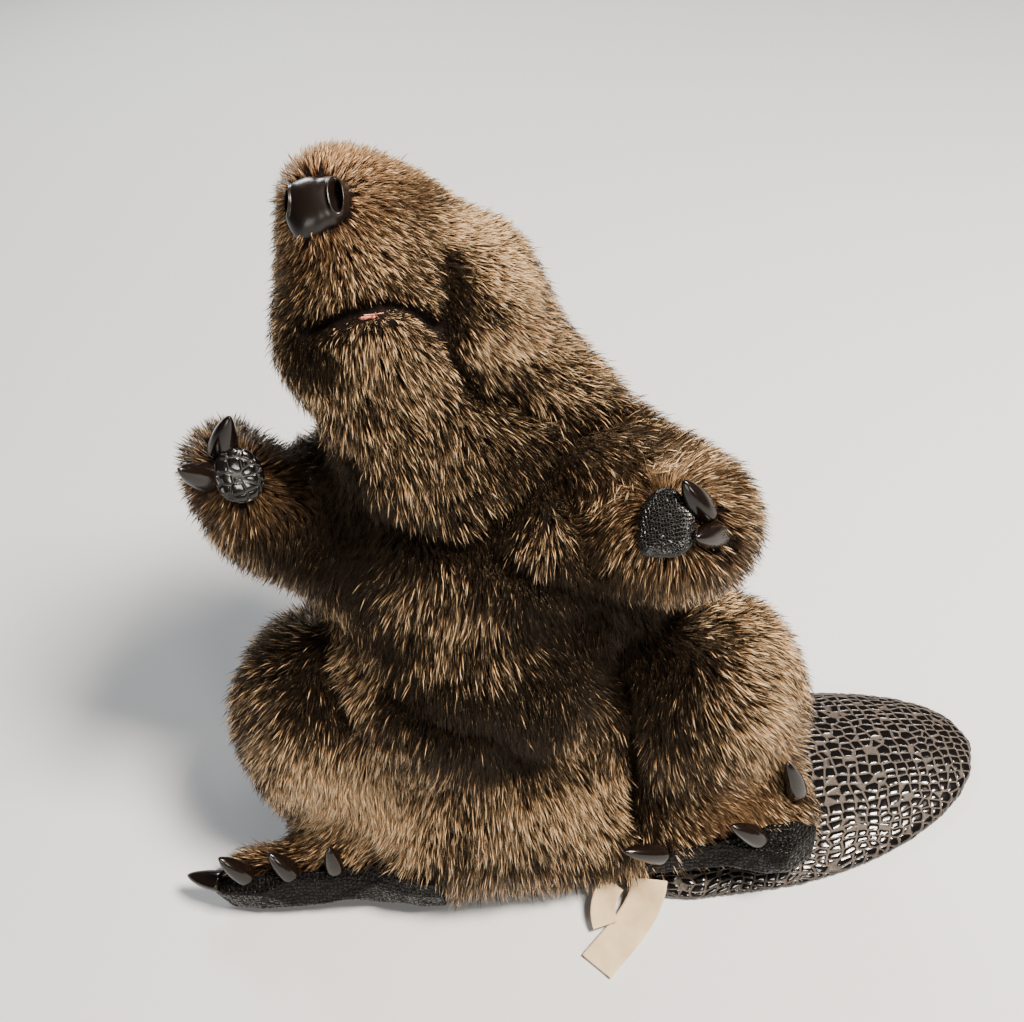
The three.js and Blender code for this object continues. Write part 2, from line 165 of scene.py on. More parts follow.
def finish(name, inputs):
    """A new material whose principled shader has these inputs; gives the material and its parts."""
    material = bpy.data.materials.new(name)
    material.use_nodes = True
    tree = material.node_tree
    shader = tree.nodes["Principled BSDF"]
    for key, value in inputs.items():
        shader.inputs[key].default_value = value
    return material, tree, shader


def object_coordinates(tree):
    return add(tree, "ShaderNodeTexCoord").outputs["Object"]


def speckle(tree, scale, detail=2.0):
    """Fine noise over the surface, with this many specks to the metre."""
    return add(tree, "ShaderNodeTexNoise", {"Vector": object_coordinates(tree), "Scale": scale,
                                            "Detail": detail}).outputs["Fac"]


def set_bump(tree, shader, height, distance, strength=1.0):
    bump = add(tree, "ShaderNodeBump", {"Height": height, "Distance": distance, "Strength": strength})
    tree.links.new(bump.outputs["Normal"], shader.inputs["Normal"])


def attribute(tree, name, output="Fac"):
    return add(tree, "ShaderNodeAttribute", attribute_name=name).outputs[output]


def studio_paper():
    """Matt seamless backdrop paper: pale, with no shine."""
    material, _, _ = finish("seamless_backdrop_paper", {"Base Color": linear("#b4b7bb"), "Roughness": 0.9})
    return material


def knitted_backing():
    """Brushed knit that the pile is sewn into: near black, matt, faintly nubbly."""
    material, tree, shader = finish("brushed_knit_backing", {"Roughness": 0.95, "Specular IOR Level": 0.1})
    nub = speckle(tree, 900.0, 3.0)
    tree.links.new(ramp(tree, nub, (0.3, "#040202"), (0.7, "#100906")), shader.inputs["Base Color"])
    set_bump(tree, shader, nub, 0.0006)
    return material


MIDDLE_TONE, PALE_TONE = 0.42, 0.68  # where a hair's tip starts to pale, and where it is all pale


def modacrylic_pile():
    """Modacrylic faux fur: near black at the root, tipped with tan, with a warm silky shine. Whether a hair's
    tip is dark or tan follows its tone, into which light and shade are painted.
    """
    material, tree, shader = finish("modacrylic_pile", {"Roughness": 0.36, "Specular IOR Level": 0.42,
                                                        "Specular Tint": linear("#e0c4a0")})
    along = attribute(tree, "along")
    dark = ramp(tree, along, (0.0, "#020101"), (0.5, "#070402"), (1.0, "#180f09"))
    pale = ramp(tree, along, (0.0, "#030201"), (0.35, "#1c110a"), (0.6, "#9b7852"), (0.85, "#f3d8b0"))
    gold = ramp(tree, along, (0.0, "#080402"), (0.35, "#4f3422"), (0.7, "#ba8d62"), (1.0, "#efd3ab"))
    # dark or pale tips by the tone, which carries painted light and shade as well as random spread
    picked = add(tree, "ShaderNodeMapRange", {"Value": attribute(tree, "tone_and_painted_light"), "From Min": MIDDLE_TONE,
                                              "From Max": PALE_TONE}, interpolation_type="SMOOTHSTEP")
    body = mixed(tree, picked.outputs["Result"], dark, pale)
    tree.links.new(mixed(tree, attribute(tree, "gold"), body, gold), shader.inputs["Base Color"])
    return material


def moulded_gloss(name, roughness):
    """Injection-moulded brown-black plastic, tumbled to a polish or a satin, over a faint ripple."""
    material, tree, shader = finish(name, {"Base Color": linear("#0d0806"), "Roughness": roughness,
                                           "IOR": 1.45, "Specular IOR Level": 0.4})
    set_bump(tree, shader, speckle(tree, 260.0), 0.00025, 0.25)
    return material


def bead_plastic():
    """Cast acrylic bead: near black with a brown depth and a hard gloss."""
    material, tree, shader = finish("cast_acrylic_bead", {"Roughness": 0.05, "IOR": 1.49, "Coat Weight": 0.6})
    swirl = speckle(tree, 300.0)
    tree.links.new(ramp(tree, swirl, (0.35, "#060404"), (0.75, "#1c0f08")), shader.inputs["Base Color"])
    return material


def embossed_vinyl(name, groove, lit_groove, dull, shine):
    """Embossed PVC hide: lacquered black scale tops over dull grooves, whose colour is painted lighter for
    the light on the groove walls, mottled by a fine noise.
    """
    material, tree, shader = finish(name, {"IOR": 1.5, "Specular IOR Level": shine})
    cells = voronoi_edges(tree, attribute(tree, "grain", "Vector"))
    top = add(tree, "ShaderNodeMapRange", {"Value": cells, "From Min": 0.05, "From Max": 0.12},
              interpolation_type="SMOOTHSTEP").outputs["Result"]
    # the grooves' colour: painted light on their walls, speckled
    speckled_colour = ramp(tree, speckle(tree, 1600.0, 4.0), (0.35, groove), (0.75, lit_groove))
    tree.links.new(mixed(tree, top, speckled_colour, linear("#070606")), shader.inputs["Base Color"])
    gloss = add(tree, "ShaderNodeMapRange", {"Value": top, "To Min": dull, "To Max": 0.15})
    tree.links.new(gloss.outputs["Result"], shader.inputs["Roughness"])
    set_bump(tree, shader, top, 0.0002, 0.5)
    return material


def wool_felt():
    """Needled felt: coral pink, matt, with short loose fibres."""
    material, tree, shader = finish("needled_felt", {"Roughness": 0.95, "Sheen Weight": 0.4})
    fibre = speckle(tree, 1400.0, 5.0)
    tree.links.new(ramp(tree, fibre, (0.3, "#b9503f"), (0.7, "#e58a75")), shader.inputs["Base Color"])
    set_bump(tree, shader, fibre, 0.0005)
    return material


def satin_ribbon():
    """Woven polyester label ribbon: cream, with a soft shine and ribs drawn coarse enough to show."""
    material, tree, shader = finish("woven_satin_ribbon", {"Roughness": 0.55, "Sheen Weight": 0.25})
    across = add(tree, "ShaderNodeUVMap", uv_map="weave").outputs["UV"]
    ribs = add(tree, "ShaderNodeTexWave", {"Vector": across, "Scale": 1.0, "Distortion": 0.4, "Detail": 1.0},
               bands_direction="Y")
    speckled_colour = speckle(tree, 120.0, 3.0)
    tree.links.new(ramp(tree, speckled_colour, (0.3, "#a8906c"), (0.7, "#c8b08a")), shader.inputs["Base Color"])
    set_bump(tree, shader, ribs.outputs["Fac"], 0.0001, 0.6)
    return material


def voronoi_edges(tree, grain):
    """How far a point of the grain pattern is from its cell's edge, in cells."""
    return add(tree, "ShaderNodeTexVoronoi", {"Vector": grain, "Scale": 1.0, "Randomness": 0.5},
               feature="DISTANCE_TO_EDGE").outputs["Distance"]


# ---- Meshes ----
def piece(name, bm, material, slot=None):
    """A finished piece of the toy, or of the stage where it has no slot."""
    mesh = bpy.data.meshes.new(name)
    bm.to_mesh(mesh)
    bm.free()
    mesh.shade_smooth()
    mesh.materials.append(material)
    new = bpy.data.objects.new(name, mesh)
    bpy.context.collection.objects.link(new)
    if slot:
        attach(new, "root")
    return new


def points_of(mesh):
    co = np.zeros(len(mesh.vertices) * 3)
    mesh.vertices.foreach_get("co", co)
    return co.reshape(-1, 3)


def normals_of(mesh):
    directions = np.zeros(len(mesh.vertices) * 3)
    mesh.vertex_normals.foreach_get("vector", directions)
    return directions.reshape(-1, 3)


def set_points(mesh, points):
    mesh.vertices.foreach_set("co", np.asarray(points, float).ravel())
    mesh.update()


def solids(nodes, spread=0.0):
    """Solid nodes as one mesh, each grown by spread metres so that they run into each other."""
    whole = bmesh.new()
    for node in nodes:
        bm = bmesh.new()
        bm.from_mesh(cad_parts[node].data)
        bmesh.ops.remove_doubles(bm, verts=bm.verts, dist=1e-6)
        bm.normal_update()
        for vert, shift in [(v, v.normal * spread) for v in bm.verts]:
            vert.co += shift
        mesh = bpy.data.meshes.new("part")
        bm.to_mesh(mesh)
        bm.free()
        whole.from_mesh(mesh)
        bpy.data.meshes.remove(mesh)
    return whole


def apply(obj, kind, **settings):
    """Adds a modifier and applies it."""
    modifier = obj.modifiers.new(kind.lower(), kind)
    for name, value in settings.items():
        setattr(modifier, name, value)
    with bpy.context.temp_override(object=obj, active_object=obj, selected_objects=[obj]):
        bpy.ops.object.modifier_apply(modifier=modifier.name)


def cast(name, nodes, voxel, rounds, material, slot, spread=0.0):
    """One smooth closed skin over solid nodes."""
    new = piece(name, solids(nodes, spread), material, slot)
    apply(new, "REMESH", mode="VOXEL", voxel_size=voxel)
    apply(new, "SMOOTH", factor=0.5, iterations=rounds)
    new.data.shade_smooth()
    return new


def rolled(shape, rings, sides, closed=True):
    """A grid bent into shape(u, v), with u along and v round, both 0 to 1."""
    bm = bmesh.new()
    bmesh.ops.create_grid(bm, x_segments=rings, y_segments=sides, size=0.5)
    spots = np.array([vert.co for vert in bm.verts])[:, :2] + 0.5
    for vert, point in zip(bm.verts, shape(spots[:, 0], spots[:, 1])):
        vert.co = point
    if closed:
        bmesh.ops.remove_doubles(bm, verts=bm.verts, dist=2e-6)
        bmesh.ops.recalc_face_normals(bm, faces=bm.faces)
    return bm


def from_line(points, line):
    """How far each point is from a line through several points."""
    best = np.full(len(points), np.inf)
    line = np.asarray(line, float)
    for a, b in zip(line[:-1], line[1:]):
        t = np.clip((points - a) @ (b - a) / ((b - a) @ (b - a)), 0, 1)
        best = np.minimum(best, np.linalg.norm(points - a - t[:, None] * (b - a), axis=1))
    return best


# ---- The fur body ----
FLESH = ["head", "lower_jaw", "neck", "chest", "belly", "back", "flank_right", "flank_left",
         "upper_arm_right", "upper_arm_left", "forepaw_right", "forepaw_left",
         "thigh_right", "thigh_left", "hind_foot_right", "hind_foot_left"]
HARD = [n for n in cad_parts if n.startswith(("claw", "pad", "sole", "eye", "tail"))]
NOSE_TIP = (-21, 31, 253)
NOSE_MIDDLE, NOSE_CLEAR = (-20.1, 32.4, 247.4), 7
PAD_RIGHT, PAD_LEFT = (-60, 14, 173), (66, -11, 156)

# Where the nap is combed: place, reach, the way it lies (or the point that it lies away from), pile
COMBING = [
    ((-20, 32, 250), 12, "away", NOSE_TIP, 3.6),
    ((-14, 42, 236), 20, "away", NOSE_TIP, 4.6),
    ((4, 50, 205), 30, "away", NOSE_TIP, 6),
    ((-8, 14, 208), 16, "along", (0.15, -0.2, -1), 5.4),
    ((0, 5, 170), 24, "along", (0.1, -0.1, -1), 7.4),
    ((20, 60, 160), 34, "along", (0.2, 0.3, -1), 8),
    ((0, -5, 135), 24, "along", (0, 0, -1), 8),
    ((3, -35, 75), 40, "along", (0, -0.05, -1), 8.4),
    ((3, 45, 85), 44, "along", (0, 0.1, -1), 8.6),
    ((-48, 23, 138), 15, "along", (-0.6, -0.2, -0.5), 6.8),
    (PAD_RIGHT, 15, "away", PAD_RIGHT, 6),
    ((70, 15, 150), 24, "along", (0.3, -0.3, -0.8), 7.6),
    ((33, -12, 137), 17, "along", (-0.25, -0.3, -0.9), 7.4),
    (PAD_LEFT, 17, "away", PAD_LEFT, 6.8),
    ((85, -5, 60), 32, "along", (0.45, -0.2, -0.85), 8.2),
    ((-60, -5, 55), 32, "along", (-0.35, -0.2, -0.9), 8.2),
    ((-70, -28, 18), 15, "along", (-0.9, -0.1, 0.1), 5.4),
    ((85, -42, 38), 14, "along", (0.3, -0.6, 0.4), 5.4),
]
COAT_HEIGHT = 0.48  # the standing pile's height, as a share of its length
# The throat's lower edge, and the line where the lips meet
BIB = [(-26, 6, 186), (-26, 5, 178), (-25, 6, 164), (-17, 0, 162), (-5, -5, 158), (3, -6, 155),
       (10, -4, 158), (17, -1, 161), (24, 4, 164), (32, 8, 168), (37, 12, 173), (44, 18, 175),
       (51, 23, 173), (58, 31, 170)]
MOUTH = [(-31, 15, 221), (-24, 13, 225), (-18, 13, 226), (-9, 14, 227), (-4, 15, 226), (0, 16, 224),
         (4, 16, 220), (8, 16, 215)]
LIPS_CLEAR = 1.8  # no tuft is rooted as near as this to the mouth's line
FOLD_DEEPER = 1.15  # all the depths below are taken this many times
# Folds of the slack cloth: width, depth (a swell where negative), and the line that each runs along
FOLDS = [
    (2.6, 6, MOUTH),
    (4, 4.5, [(11, 31, 230), (11, 26, 225), (11, 19, 218), (9, 14, 210), (11, 13, 203),
              (15, 12, 194)]),  # the cheek
    (3, 4, [(23, 15, 189), (29, 14, 183), (35, 15, 180)]),  # below the cheek
    (4.5, 7.5, [(x, y, z - 4) for x, y, z in BIB]),  # under the throat, which hangs over the chest
    (6, -2.5, [(x, y, z + 7) for x, y, z in BIB]),  # the throat's own roll above it
    (4.5, 5, [(38, 3, 158), (40, -6, 152), (41, -12, 146), (44, -15, 141)]),  # inside the elbow
    (5, 6, [(15, -11, 148), (23, -15, 142), (32, -16, 135), (44, -13, 127),
            (60, -7, 116)]),  # under the left forearm
    (6, 4.5, [(-30, -22, 103), (-12, -33, 97), (4, -36, 91), (14, -36, 74)]),  # across the belly
    (3.4, 8, [(54, -10, 120), (52, -9, 101), (52, -22, 72), (51, -28, 56), (49, -40, 34)]),  # left hip
    (4, 4, [(-53, 26, 96), (-49, 5, 103), (-48, -10, 96), (-43, -20, 86)]),  # right hip
    (1.8, 2.2, [(-15, -47, 38), (1, -50, 37), (22, -50, 30), (43, -50, 24)]),  # the hem's stitching
    (9, -2.5, [(48, -8, 106), (60, 0, 104), (76, 6, 100)]),  # where the left arm rests on the thigh
    (8, -3, [(-34, 26, 158), (-40, 33, 156)]),  # gathered cloth at the right armpit
]
# Painted light and shade: where more of the tips are pale, for light falling there, or fewer, for shade under
# the throat, in the armpits, under the forearm and across the belly: place, reach, change
PAINTED_LIGHT_AND_SHADE = [
    ((-46, 17, 160), 13, -0.6), ((-37, 12, 150), 12, -0.6), ((-30, 8, 172), 9, -0.4),
    ((-41, 6, 140), 8, -0.3), ((-19, 1, 152), 8, -0.3), ((-7, -5, 150), 7, -0.3), ((17, -7, 152), 6, -0.25),
    ((-28, -6, 124), 9, -0.3), ((20, -14, 143), 9, -0.25), ((35, -15, 122), 12, -0.6),
    ((43, -13, 104), 13, -0.6), ((58, -6, 103), 11, -0.45), ((41, -7, 149), 6, -0.3),
    ((29, 2, 160), 8, -0.15), ((50, 12, 166), 9, -0.2), ((63, -14, 89), 10, -0.25),
    ((77, -9, 95), 8, -0.15), ((-18, -26, 105), 9, -0.25), ((-3, -34, 97), 11, -0.4),
    ((9, -34, 98), 10, -0.35), ((14, -37, 78), 9, -0.4), ((-59, -2, 99), 10, -0.25),
    ((-52, -8, 96), 8, -0.2), ((27, 19, 192), 6, -0.12), ((42, 28, 187), 7, -0.12),
    ((-27, 7, 214), 5, -0.12), ((17, 24, 219), 5, -0.25), ((-63, -24, 68), 11, 0.35),
    ((-50, -28, 54), 13, 0.4), ((-32, -34, 46), 10, 0.25), ((-58, -28, 30), 10, 0.2),
    ((10, -43, 51), 16, 0.15), ((36, -33, 46), 13, 0.2), ((-41, -7, 101), 6, 0.3),
    ((102, -16, 82), 14, 0.25), ((98, -32, 66), 10, 0.2), ((28, -10, 149), 7, 0.3),
    ((33, 31, 206), 12, 0.25), ((21, 44, 227), 14, 0.3), ((45, 30, 184), 8, 0.1),
    ((-12, 25, 232), 15, 0.25), ((5, 41, 244), 6, -0.2), ((2, 34, 244), 5, -0.15), ((12, 26, 225), 5, -0.3),
    ((-8, 31, 250), 4, -0.3), ((-21, 23, 241), 6, -0.2), ((-28, 22, 236), 6, -0.2),
    ((-10, 12, 211), 12, 0.15), ((-17, -9, 139), 8, 0.15), ((-38, -30, 60), 12, 0.1),
    ((-34, 17, 218), 7, -0.3), ((-29, 11, 218), 5, -0.2), ((-14, 14, 230), 4, -0.25),
    ((62, -22, 80), 9, -0.2), ((80, -39, 38), 9, -0.3), ((57, -34, 42), 7, -0.2), ((-62, 4, 148), 7, 0.25),
    ((-55, 10, 123), 8, 0.25), ((72, 18, 162), 12, -0.15), ((30, 14, 197), 9, -0.1),
    ((69, -32, 68), 10, -0.1), ((-2, 41, 251), 12, -0.08),
]


HOLLOW_MIDDLE, HOLLOW_REACH = (3, 2, 18), (41, 29, 86)  # the space for the hand
HOLLOW_PILE = 0.5  # how far the bare knit in it lies inside the solids
NOSE_SEAT, NOSE_SEAT_REACH = 4, 8.5  # how deep and how wide the skin is drawn in under the nose
FLOOR_CLEAR = 0.4  # the skin's least height
SHORTER_IN_FOLDS, DEEPEST = 0.08, 8  # the pile's loss of length for each millimetre of fold, up to this depth


def combed(points):
    """The way the nap lies and its length, at points in the toy's millimetres."""
    heading, length, total = np.zeros(points.shape), np.zeros(len(points)), np.zeros(len(points))
    for centre, reach, kind, way, pile in COMBING:
        weight = np.exp(-((points - centre) ** 2).sum(1) / (2 * reach ** 2)) + 1e-9
        lie = unit(points - way) if kind == "away" else unit(way)
        heading += weight[:, None] * lie
        length += weight * pile
        total += weight
    length = length / total * np.clip(0.5 + points[:, 2] / 30, 0.5, 1)
    length = length * (1 - SHORTER_IN_FOLDS * np.clip(folded(points), 0, DEEPEST))
    return unit(heading), length * np.clip(0.4 + from_line(points, MOUTH) / 12, 0.4, 1)


def gathered(points, places):
    """The sum at each point of what (place, reach, amount) gives there."""
    return sum(amount * np.exp(-((points - centre) ** 2).sum(1) / (2 * reach ** 2))
               for centre, reach, amount in places)


def folded(points):
    """How far folds draw the cloth in at each point."""
    return sum(FOLD_DEEPER * fold * np.exp(-(from_line(points, line) / width) ** 2)
               for width, fold, line in FOLDS)


def in_hollow(points):
    """Whether points are on the wall of the space for the hand."""
    return (((points - HOLLOW_MIDDLE) / HOLLOW_REACH) ** 2).sum(1) < 1


def body_skin():
    """The knit under the pile: the solid body, drawn in by the coat's depth, with its folds."""
    skin = cast("fur_backing", FLESH + ["nose"], 2.4 * MM, 14, knitted_backing(), "fur", spread=0.4 * MM)
    points, normals = drawn(points_of(skin.data)), normals_of(skin.data)
    _, pile = combed(points)
    skin.data.attributes.new("tip_level", "FLOAT_VECTOR", "POINT").data.foreach_set(
        "vector", points.astype(np.float32).ravel())
    depth = np.where(in_hollow(points), HOLLOW_PILE, COAT_HEIGHT * pile) + folded(points)
    depth += NOSE_SEAT * np.exp(-(np.linalg.norm(points - NOSE_MIDDLE, axis=1) / NOSE_SEAT_REACH) ** 4)
    depth += 0.5 * waves(points, 16, 5)
    points -= normals * depth[:, None]
    points[:, 2] = np.maximum(points[:, 2], FLOOR_CLEAR)
    set_points(skin.data, place(points))
    apply(skin, "SMOOTH", factor=0.5, iterations=2)
    skin.data.shade_smooth()
    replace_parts(skin, *FLESH)
    return skin


def unwrap(obj):
    """Lays the piece's own shape out flat in the map that its colours are kept in."""
    obj.data.uv_layers.new(name="OFBake")
    bpy.ops.object.select_all(action="DESELECT")
    bpy.context.view_layer.objects.active = obj
    obj.select_set(True)
    bpy.ops.object.mode_set(mode="EDIT")
    bpy.ops.mesh.select_all(action="SELECT")
    bpy.ops.uv.smart_project(angle_limit=math.radians(66), island_margin=0.003)
    bpy.ops.object.mode_set(mode="OBJECT")


def triangles_of(mesh):
    """Each triangle's corners: points, normals, flat places, and the tips' level in millimetres."""
    mesh.calc_loop_triangles()
    count = len(mesh.loop_triangles)
    verts, loops = np.zeros(count * 3, int), np.zeros(count * 3, int)
    mesh.loop_triangles.foreach_get("vertices", verts)
    mesh.loop_triangles.foreach_get("loops", loops)
    flat = np.zeros(len(mesh.loops) * 2)
    mesh.uv_layers["OFBake"].data.foreach_get("uv", flat)
    points = points_of(mesh)
    level = drawn(points)
    if "tip_level" in mesh.attributes:
        level = np.zeros(level.size, np.float32)
        mesh.attributes["tip_level"].data.foreach_get("vector", level)
    return (points[verts].reshape(-1, 3, 3), normals_of(mesh)[verts].reshape(-1, 3, 3),
            flat.reshape(-1, 2)[loops].reshape(-1, 3, 2), level.reshape(-1, 3)[verts].reshape(-1, 3, 3))


def hair_shape(widest):
    """A three-sided hair, widest at this share of its length, as points (x, y, along) and faces."""
    bm = bmesh.new()
    bmesh.ops.create_cone(bm, segments=3, radius1=1, radius2=0, depth=1 - widest,
                          matrix=Matrix.Translation((0, 0, (1 + widest) / 2)))
    if widest:
        bmesh.ops.create_cone(bm, segments=3, radius1=0, radius2=1, depth=widest,
                              matrix=Matrix.Translation((0, 0, widest / 2)))
    bmesh.ops.remove_doubles(bm, verts=bm.verts, dist=1e-4)
    bmesh.ops.recalc_face_normals(bm, faces=bm.faces)
    bmesh.ops.triangulate(bm, faces=bm.faces)
    bm.verts.ensure_lookup_table()
    points = np.array([v.co for v in bm.verts])
    faces = np.array([[v.index for v in f.verts] for f in bm.faces])
    bm.free()
    return points, faces


# Each kind of hair: its shape, the hairs in a tuft, radius, length as a share of the pile, lift in
# radians, how far it is paler, and how many tufts one piece may hold
UNDERFUR = {"shape": hair_shape(0), "hairs": 5, "radius": 0.14, "length": 1.0, "lift": 0.7,
            "paler": -0.06, "most": 12000}
GUARD_HAIR = {"shape": hair_shape(0.6), "hairs": 2, "radius": 0.165, "length": 1.2, "lift": 0.55,
              "paler": 0.02, "most": 15000}
TUFT_RADIUS = 0.9
ROOT_DEPTH = 0.4  # how far under the knit's face a hair starts
GATHERED = 0.7  # how far the hairs of a tuft lean to its middle
BOW, FLATTENED = 0.12, 0.8  # how far a hair arches, and its thickness as a share of its width
LOWEST_ROOT, LOWEST_TIP = 0.25, 0.15
SHADE_PAINTED_IN_FOLDS = 0.1  # painted shade: how far the tips darken for each millimetre of fold, for the shade in the crease
PATCH = 0.003  # a tuft's share of the colour map
THINNED_OVER = 5  # the pile above which tufts stand further apart
HARD_FACES = BVHTree.FromBMesh(solids(HARD))
HEADROOM, SIDE_ROOM = 0.5, 0.6  # room that a tuft needs: above it, as a share of the pile, and beside it


def tuft_roots(skin, density, seed):
    """Where tufts grow on a skin, about evenly spread: points, normals, flat places and tips' level."""
    corners, *others = triangles_of(skin.data)
    area = np.linalg.norm(np.cross(corners[:, 1] - corners[:, 0], corners[:, 2] - corners[:, 0]), axis=1) / 2
    count = int(area.sum() / MM ** 2 * density)
    rng = np.random.default_rng(seed)
    # One root in each equal share of the area, in the order that the skin's triangles come in
    chosen = np.searchsorted(np.cumsum(area), (np.arange(count) + rng.random(count)) / count * area.sum())
    chosen = np.minimum(chosen, len(area) - 1)
    u, v = rng.random(count), rng.random(count)
    u, v = np.where(u + v > 1, 1 - u, u), np.where(u + v > 1, 1 - v, v)
    share = np.stack([1 - u - v, u, v], axis=1)[:, :, None]
    return [(values[chosen] * share).sum(1) for values in (corners, *others)]


def clear_of_hard(roots, normals, pile):
    """Whether a tuft has room to rise, with no nose, claw, pad, sole or tail over it."""
    free = np.linalg.norm(drawn(roots) - NOSE_MIDDLE, axis=1) > NOSE_CLEAR
    for n, (root, normal, reach) in enumerate(zip(roots, normals, pile)):
        if not free[n]:
            continue
        hit = HARD_FACES.ray_cast(Vector(root), Vector(normal), HEADROOM * reach * MM)
        near = HARD_FACES.find_nearest(Vector(root), SIDE_ROOM * MM)
        free[n] = hit[0] is None and near[0] is None
    return free


def grow(name, kind, roots, normals, flats, level, seed, material, pile_scale=1.0):
    """A coat piece: tufts of hairs joined into one mesh, with the colours' map and attributes."""
    rng = np.random.default_rng(seed)
    spots, normals = drawn(roots), unit(normals)
    heading, pile = combed(level)
    turn = 0.22 * waves(spots, 14, 21) + 0.1 * waves(spots, 5, 22) + rng.normal(0, 0.08, len(spots))
    flow = unit(heading - normals * (heading * normals).sum(1)[:, None])
    side = np.cross(normals, flow)
    flow = flow * np.cos(turn)[:, None] + side * np.sin(turn)[:, None]
    side = np.cross(normals, flow)
    hairs = kind["hairs"]

    def each(values):
        return np.repeat(values, hairs, axis=0)

    count = len(spots) * hairs
    spin, out = rng.uniform(0, 2 * math.pi, count), TUFT_RADIUS * np.sqrt(rng.random(count))
    n, f, s = each(normals), each(flow), each(side)
    across, ahead = (out * np.sin(spin))[:, None], (out * np.cos(spin))[:, None]
    length = (each(pile) * pile_scale * kind["length"] * rng.uniform(0.7, 1.2, count))[:, None]
    rise = np.clip(kind["lift"] + rng.normal(0, 0.16, count), 0.15, 1.4)[:, None]
    root = each(spots) + f * ahead + s * across - n * ROOT_DEPTH
    lean = unit(f * np.cos(rise) + n * np.sin(rise) - s * across / length * GATHERED
                + s * rng.normal(0, 0.07, count)[:, None])
    tip = root + lean * length
    for row, lowest in ((root, LOWEST_ROOT), (tip, LOWEST_TIP)):
        row[:, 2] = np.maximum(row[:, 2], lowest)
    thick = (kind["radius"] * rng.uniform(0.75, 1.3, count) * (0.6 + 0.045 * length[:, 0]))[:, None]
    arch = n * length * BOW
    shape_points, faces = kind["shape"]
    columns = [root + (tip - root) * along + arch * math.sin(math.pi * along)
               + (s * x + n * y * FLATTENED) * thick for x, y, along in shape_points]
    points = np.stack(columns, axis=1).reshape(-1, 3)

    corners, step = faces.ravel(), len(shape_points)
    loops = (corners[None, :] + (np.arange(count) * step)[:, None]).ravel()
    mesh = bpy.data.meshes.new(name)
    mesh.vertices.add(count * step)
    mesh.loops.add(len(loops))
    mesh.polygons.add(count * len(faces))
    mesh.vertices.foreach_set("co", place(points).ravel())
    mesh.loops.foreach_set("vertex_index", loops)
    mesh.polygons.foreach_set("loop_start", np.arange(0, len(loops), 3))
    mesh.update(calc_edges=True)
    # The tone: random spread, plus painted light and shade from the light-and-shade table, plus painted shade
    # that darkens the tips in folds
    tone_and_painted_light = (MIDDLE_TONE + kind["paler"] + 0.1 * waves(spots, 8, 33) + gathered(level, PAINTED_LIGHT_AND_SHADE)
            - SHADE_PAINTED_IN_FOLDS * np.maximum(folded(level), 0) + rng.normal(0, 0.12, len(spots)))
    tone_and_painted_light = each(tone_and_painted_light) + rng.normal(0, 0.2, count)
    gold = each(np.clip(gathered(level, GOLDEN), 0, 0.9)) * rng.uniform(0.4, 1, count)
    for what, values in (("along", np.tile(shape_points[:, 2], count)), ("tone_and_painted_light", np.repeat(tone_and_painted_light, step)),
                         ("gold", np.repeat(gold, step))):
        mesh.attributes.new(what, "FLOAT", "POINT").data.foreach_set("value", values.astype(np.float32))
    within = np.tile(np.arange(hairs), len(spots)) / hairs
    corner_u = within[:, None] + (shape_points[corners, 0] * 0.4 + 0.5)[None, :] / hairs
    corner_v = np.broadcast_to(shape_points[corners, 2][None, :], corner_u.shape)
    flat = each(flats)[:, None, :] + PATCH * (np.stack([corner_u, corner_v], axis=2) - 0.5)
    mesh.uv_layers.new(name="OFBake").data.foreach_set("uv", np.clip(flat, 0, 1).ravel())
    mesh.materials.append(material)
    mesh.shade_smooth()
    new = bpy.data.objects.new(name, mesh)
    bpy.context.collection.objects.link(new)
    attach(new, "root")
    return new


# The coat's parts, and the nodes that each covers
COATS = {
    "head": ["head"], "throat": ["lower_jaw", "neck"], "chest": ["chest"], "belly": ["belly"],
    "back": ["back", "flank_right", "flank_left"],
    "arms": ["upper_arm_right", "upper_arm_left", "forepaw_right", "forepaw_left"],
    "thigh_right": ["thigh_right", "hind_foot_right"], "thigh_left": ["thigh_left", "hind_foot_left"],
}
# Where the tips are golden, round the nose and on the feet: place, reach, share
GOLDEN = [((-20, 34, 250), 13, 0.6), ((-10, 52, 250), 12, 0.35), (PAD_RIGHT, 10, 0.4),
          (PAD_LEFT, 13, 0.35), ((85, -42, 38), 10, 0.35), ((-75, -28, 18), 12, 0.3)]


def body_coat(skin, name, kind, density, seed, material):
    """All the hair of one kind, at this many tufts to the square millimetre, in pieces by part."""
    tufts = tuft_roots(skin, density * (1), seed)
    roots, normals, _, level = tufts
    spots = drawn(roots)
    _, pile = combed(level)
    sparse = np.random.default_rng(seed).random(len(spots)) > (THINNED_OVER / pile) ** 0.7
    keep = ~in_hollow(spots) & ~sparse & (spots[:, 2] > 0.8) & (from_line(level, MOUTH) > LIPS_CLEAR)
    keep[keep] = clear_of_hard(roots[keep], normals[keep], pile[keep])
    roots, normals, flats, level = (values[keep] for values in tufts)
    owner = nearest_part(roots)
    for number, part in enumerate(COATS):
        mine = np.flatnonzero(owner == part)
        for split, start in enumerate(range(0, len(mine), kind["most"])):
            some = mine[start:start + kind["most"]]
            grow(f"{name}_{part}_{split + 1}", kind, roots[some], normals[some], flats[some], level[some],
                 seed + 10 * number + split, material)


def nearest_part(roots):
    """The part of the body that each root grows on."""
    corners = [(part, vert.co) for part, nodes in COATS.items() for node in nodes
               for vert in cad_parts[node].data.vertices]
    nearest = KDTree(len(corners))
    for number, (_, spot) in enumerate(corners):
        nearest.insert(spot, number)
    nearest.balance()
    return np.array([corners[nearest.find(root)[1]][0] for root in roots])


